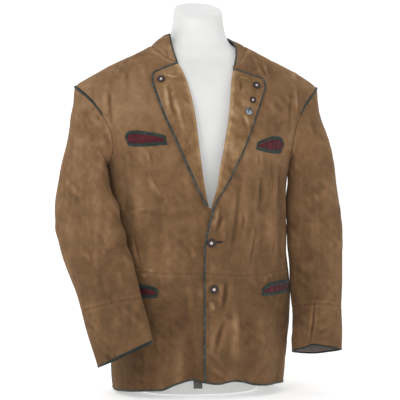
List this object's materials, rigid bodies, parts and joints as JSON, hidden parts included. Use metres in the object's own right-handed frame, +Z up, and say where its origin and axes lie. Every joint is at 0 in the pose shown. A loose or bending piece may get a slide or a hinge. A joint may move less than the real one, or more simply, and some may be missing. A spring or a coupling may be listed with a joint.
{
  "type": "suede jacket on a limbless dress form",
  "caption": "Buttoned suede jacket with bound edges, turned lapels, stand collar, welt pockets and empty sleeves, worn by a limbless dress form.",
  "frame": {"origin": "centre of the dress form's flat base", "axes": "+Z up, the front faces -Y, the wearer's left is +X"},
  "size_m": [0.635, 0.3374, 0.8552],
  "materials": {
    "suede": "brown suede with a soft nap",
    "binding": "dark grey-green binding",
    "pocket_inside": "dark red pocket cloth",
    "lining": "pinkish grey lining",
    "facing": "dark green facing cloth",
    "form": "plain white, smooth",
    "horn": "dark brown horn",
    "pearl": "pale pearly",
    "metal": "dull silver"
  },
  "bodies": {
    "root": {"front_left": "suede", "front_right": "suede", "back_left": "suede", "back_right": "suede", "skirt_front_left": "suede", "skirt_front_right": "suede", "skirt_back_left": "suede", "skirt_back_right": "suede", "lapel_left": "suede", "lapel_right": "suede", "collar": "suede", "sleeve_top_left": "suede", "sleeve_top_right": "suede", "sleeve_under_left": "suede", "sleeve_under_right": "suede", "cuff_left": "suede", "cuff_right": "suede", "binding_front_left": "binding", "binding_lapel_right": "binding", "binding_hem_right": "binding", "binding_hem_back": "binding", "binding_collar": "binding", "binding_cuff_left": "binding", "binding_cuff_right": "binding", "shoulder_strip_left": "binding", "shoulder_strip_right": "binding", "chest_pocket_left_upper_welt": "binding", "chest_pocket_left_lower_welt": "binding", "chest_pocket_right_upper_welt": "binding", "chest_pocket_right_lower_welt": "binding", "lower_pocket_left_upper_welt": "binding", "lower_pocket_left_lower_welt": "binding", "lower_pocket_right_upper_welt": "binding", "lower_pocket_right_lower_welt": "binding", "chest_pocket_left_inside": "pocket_inside", "chest_pocket_right_inside": "pocket_inside", "lower_pocket_left_inside": "pocket_inside", "lower_pocket_right_inside": "pocket_inside", "cuff_lining_left": "lining", "cuff_lining_right": "lining", "collar_facing": "facing", "facing_right": "facing", "dress_form": "form", "button_waist_rim": "horn", "button_skirt_rim": "horn", "button_lapel_right_rim": "horn", "button_lapel_left_upper_rim": "horn", "button_lapel_left_lower_rim": "horn", "button_waist_centre": "pearl", "button_skirt_centre": "pearl", "button_lapel_right_centre": "pearl", "button_lapel_left_upper_centre": "pearl", "button_lapel_left_lower_centre": "pearl", "stud_lapel_left": "metal"}
  },
  "joints": []
}
